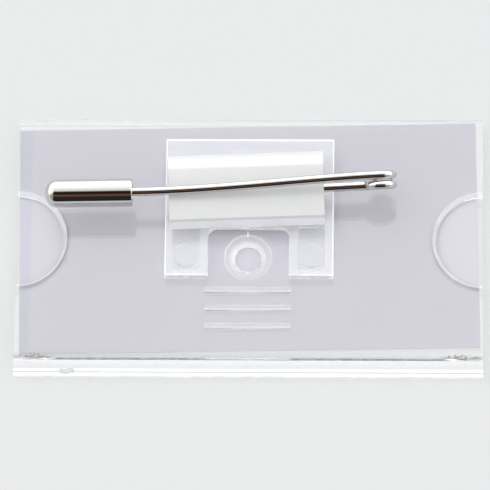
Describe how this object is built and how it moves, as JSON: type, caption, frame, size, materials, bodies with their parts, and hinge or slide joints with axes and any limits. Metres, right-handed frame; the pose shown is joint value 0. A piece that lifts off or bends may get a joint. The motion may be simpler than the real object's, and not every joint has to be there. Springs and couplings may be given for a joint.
{
  "type": "name badge",
  "caption": "Clear card holder for a name card, lying face down, with a coiled spring pin and its bullet cap on the back.",
  "frame": {"origin": "middle of the front face, which the badge lies on", "axes": "+X along the holder towards the pin's coil, +Y towards the open top edge, +Z out of the back"},
  "size_m": [0.061, 0.0352, 0.0105],
  "materials": {
    "clear_plastic": "clear, polished",
    "card": "matt, pale lavender",
    "nickel": "bright nickel plate"
  },
  "bodies": {
    "root": {"front_shell": "clear_plastic", "back_plate": "clear_plastic", "clip_base": "clear_plastic", "pin_bridge": "nickel", "pin_coil": "nickel"},
    "card": {"card_insert": "card"},
    "pin": {"pin_arm": "nickel"},
    "cap": {"pin_cap": "nickel"}
  },
  "joints": [
    {"name": "card_slide", "type": "slide", "parent": "root", "child": "card", "axis": [1, 0, 0], "range_m": [-0.045, 0.045]},
    {"name": "pin_spring", "type": "hinge", "parent": "root", "child": "pin", "pos_m": [0.0171, 0.00668, 0.00796], "axis": [-0.0557, 0.938, 0.342], "range_deg": [0, 35], "stiffness_Nm_per_rad": 0.2},
    {"name": "cap_pull", "type": "slide", "parent": "pin", "child": "cap", "axis": [-0.9998, -0.0157, -0.0087], "range_m": [0, 0.009]}
  ]
}
